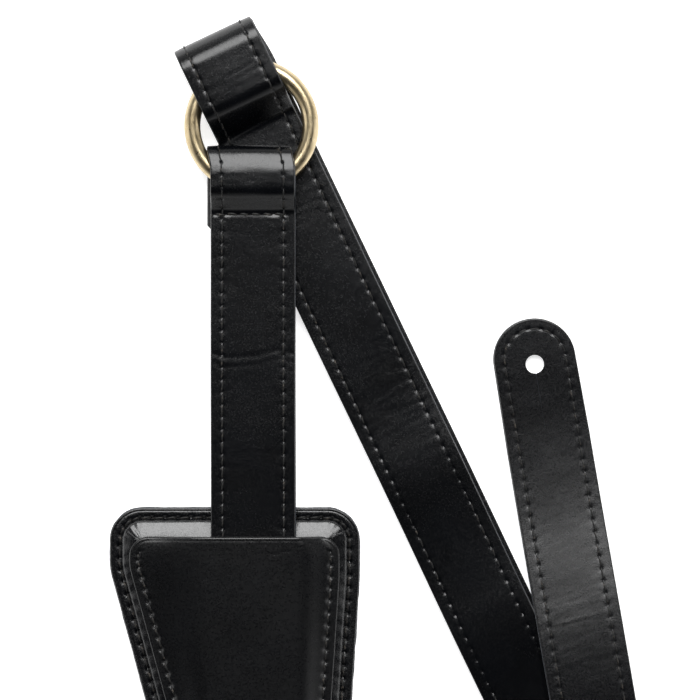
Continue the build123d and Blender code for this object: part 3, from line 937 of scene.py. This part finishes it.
bend = 1 - np.cos(np.radians(np.arange(0, 91, 4.5)))
rows_y = np.concatenate([
    cover_low_y + 7 * bend,
    np.linspace(cover_low_y + 7, cover_top_y - 7, 330)[1:-1],
    (cover_top_y - 7 * bend)[::-1],
])
left_edge, right_edge = side_of_cover(rows_y, -1), side_of_cover(rows_y, 1)
near = np.array((0, 0.06, 0.18, 0.36, 0.6, 0.9, 1.4, 2.0, 2.5, 2.85, 3.1, 3.3, 3.5, 3.75, 4.1, 4.7, 5.5))
share = np.linspace(0, 1, 44)[1:-1]
squeeze = np.clip((right_edge - left_edge) / 60.0, 0, 1)[:, None]
cover_x = np.hstack([
    left_edge[:, None] + near * squeeze,
    (left_edge[:, None] + 5.5 * squeeze) * (1 - share) + (right_edge[:, None] - 5.5 * squeeze) * share,
    right_edge[:, None] - near[::-1] * squeeze,
])
cover_y = np.repeat(rows_y[:, None], cover_x.shape[1], 1)
flat_x, flat_y = cover_x.ravel(), cover_y.ravel()
nearest, depth = np.zeros(len(flat_x), int), np.zeros(len(flat_x))
for lot in np.array_split(np.arange(len(flat_x)), 24):
    gap = np.hypot(flat_x[lot, None] - cover_edge[None, :, 0], flat_y[lot, None] - cover_edge[None, :, 1])
    nearest[lot] = gap.argmin(1)
    depth[lot] = gap.min(1)
from_left = flat_x - np.repeat(left_edge, cover_x.shape[1])
from_right = np.repeat(right_edge, cover_x.shape[1]) - flat_x
from_side = np.minimum(from_left, from_right)
from_end = np.minimum(cover_top_y - flat_y, flat_y - cover_low_y)
depth = np.where(depth < 0.2, np.minimum(depth, np.minimum(from_side, from_end)), depth)
seam_q = cover_q[nearest]
seam_end_gap = 4.3
seam_ends = (cover_low_y + seam_end_gap, cover_top_y - seam_end_gap)
on_side = smooth_step((flat_y - seam_ends[0]) / 0.8) * smooth_step((seam_ends[1] - flat_y) / 0.8)
cover_pitch = cover_line.length / round(cover_line.length / stitch_pitch)
cover_z = cover_height(flat_x, flat_y, 1.55)
cover_z -= edge_drop(depth, 0.75) + 0.07 * np.exp(-(((depth - 1.3) / 0.3) ** 2))
cover_z -= on_side * sewn_in(depth - cover_seam_inset, seam_q, cover_pitch, 0.55)
cover_z += 0.05 * smooth_noise(flat_x / 9.0, flat_y / 14.0, 51) + 0.012 * smooth_noise(flat_x, flat_y, 52)
scratches = (
    (6.5, 105.0, 7.8, 103.8, 0.16),
    (9.2, 104.2, 12.6, 105.6, 0.14),
    (17.2, 106.8, 20.4, 107.6, 0.16),
    (18.6, 105.4, 20.9, 105.9, 0.12),
    (3.9, 107.6, 4.7, 107.2, 0.12),
)
for x0, y0, x1, y1, reach in scratches:
    span = np.array((x1 - x0, y1 - y0))
    along_it = np.clip(((flat_x - x0) * span[0] + (flat_y - y0) * span[1]) / (span @ span), 0, 1)
    away = np.hypot(flat_x - x0 - along_it * span[0], flat_y - y0 - along_it * span[1])
    cover_z += 0.10 * np.exp(-((away / (reach * 2.2)) ** 2)) * np.sign(flat_y - y0 - along_it * span[1] + 1e-6)
cover_under = cover_height(flat_x, flat_y, 0.0)
upper = np.column_stack([flat_x, flat_y, cover_z])
under = np.column_stack([flat_x, flat_y, np.minimum(cover_under, cover_z - 0.3)])
index = np.arange(cover_x.size).reshape(cover_x.shape)
quads = grid_quads(index)
rim = np.concatenate([index[:-1, 0], index[-1, :-1], index[:0:-1, -1], index[0, :0:-1]])
walls = np.stack([rim, np.roll(rim, -1), np.roll(rim, -1) + index.size, rim + index.size], -1)
faces = quads.tolist() + (quads + index.size).tolist() + walls.tolist()
marks = [0] * (2 * len(quads)) + [1] * len(walls)
cover_points = np.vstack([upper, under])
cover_panel = make_piece("cover_panel", cover_points, faces, [cover_leather, cut_edge], marks)
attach(cover_panel, "pad")
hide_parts("tunnel_cover")

for side, node_side in ((-1, "left"), (1, "right")):
    between_ends = (cover_edge[:, 1] > seam_ends[0]) & (cover_edge[:, 1] < seam_ends[1])
    mine = (cover_edge[:, 0] * side > 0) & between_ends
    reach = cover_q[mine]
    first, last = math.ceil(reach.min() / cover_pitch), math.floor(reach.max() / cover_pitch)

    def cover_line_at(q, offset, first=first):
        line, way = cover_line.at(q + first * cover_pitch)
        inset = (cover_inset + cover_seam_inset + offset)[:, None]
        spot = line - np.stack([way[:, 1], -way[:, 0]], 1) * inset
        return spot[:, 0], spot[:, 1]

    for node_end, level, turned in (("needle", 1.42, 1), ("bobbin", 0.0, -1)):
        def cover_place(s, x, h, turned=turned, level=level):
            base = cover_height(s, x, level) if turned > 0 else np.full(len(s), 6.5)
            return np.column_stack([s, x, base + turned * h])

        node = "cover_%s_%s_thread" % (node_side, node_end)
        row = sew(node, cover_place, cover_line_at, (last - first) * cover_pitch, last - first,
                  0.38 if turned > 0 else 0.2, level=0.0, gap=0.8, lean=0.2, seed=9 + side)
        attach(row, "pad")
        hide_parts(node)
